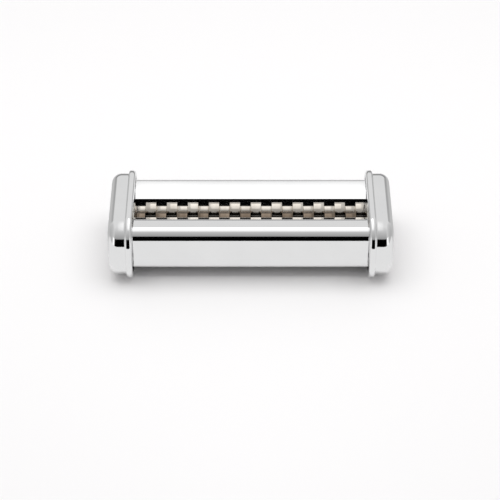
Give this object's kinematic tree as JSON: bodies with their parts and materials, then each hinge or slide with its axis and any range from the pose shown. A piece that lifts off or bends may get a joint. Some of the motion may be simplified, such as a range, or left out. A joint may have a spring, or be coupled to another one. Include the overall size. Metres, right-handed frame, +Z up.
{
  "type": "pasta cutter attachment",
  "caption": "Chromed cutter attachment of a hand-cranked pasta machine: grooved steel rollers geared together between bent sheet covers and pressed end caps, cutting dough into ribbons.",
  "frame": {"origin": "middle of the footprint, on the table under the end caps' rims", "axes": "+X along the rollers to the crank end, +Z up out of the feed slot, -Y to the front"},
  "size_m": [0.174, 0.0756, 0.0415],
  "materials": {
    "chrome": "polished chrome plate on pressed steel sheet",
    "plate_steel": "plain cold rolled sheet, satin",
    "cutter_steel": "turned steel with fine circular tool marks",
    "gear_steel": "machined steel, lightly greased",
    "spring_steel": "blackened spring steel",
    "bush_plastic": "natural moulded acetal",
    "comb_steel": "stamped stainless sheet",
    "zinc_steel": "bright zinc plate"
  },
  "bodies": {
    "frame": {"front_cover": "chrome", "rear_cover": "chrome", "left_end_cap": "chrome", "right_end_cap": "chrome", "left_side_plate": "plate_steel", "right_side_plate": "plate_steel", "left_front_bush": "bush_plastic", "left_rear_bush": "bush_plastic", "right_front_bush": "bush_plastic", "right_rear_bush": "bush_plastic", "front_comb": "comb_steel", "rear_comb": "comb_steel", "front_tie_rod": "zinc_steel", "rear_tie_rod": "zinc_steel", "left_rod_nuts": "zinc_steel", "right_rod_nuts": "zinc_steel", "left_rod_washers": "zinc_steel", "right_rod_washers": "zinc_steel"},
    "front_roller": {"front_cutter_roller": "cutter_steel", "front_gear": "gear_steel", "front_gear_clip": "spring_steel", "crank_socket": "gear_steel", "crank_socket_pin": "zinc_steel"},
    "rear_roller": {"rear_cutter_roller": "cutter_steel", "rear_gear": "gear_steel", "rear_gear_clip": "spring_steel", "rear_journal_clip": "spring_steel"}
  },
  "joints": [
    {"name": "front_roller_spin", "type": "hinge", "parent": "frame", "child": "front_roller", "pos_m": [0, -0.00535, 0.0262], "axis": [1, 0, 0], "continuous": true},
    {"name": "rear_roller_spin", "type": "hinge", "parent": "frame", "child": "rear_roller", "pos_m": [0, 0.00535, 0.0262], "axis": [1, 0, 0], "continuous": true}
  ],
  "couplings": [
    {"joint": "rear_roller_spin", "follows": "front_roller_spin", "ratio": -1}
  ]
}
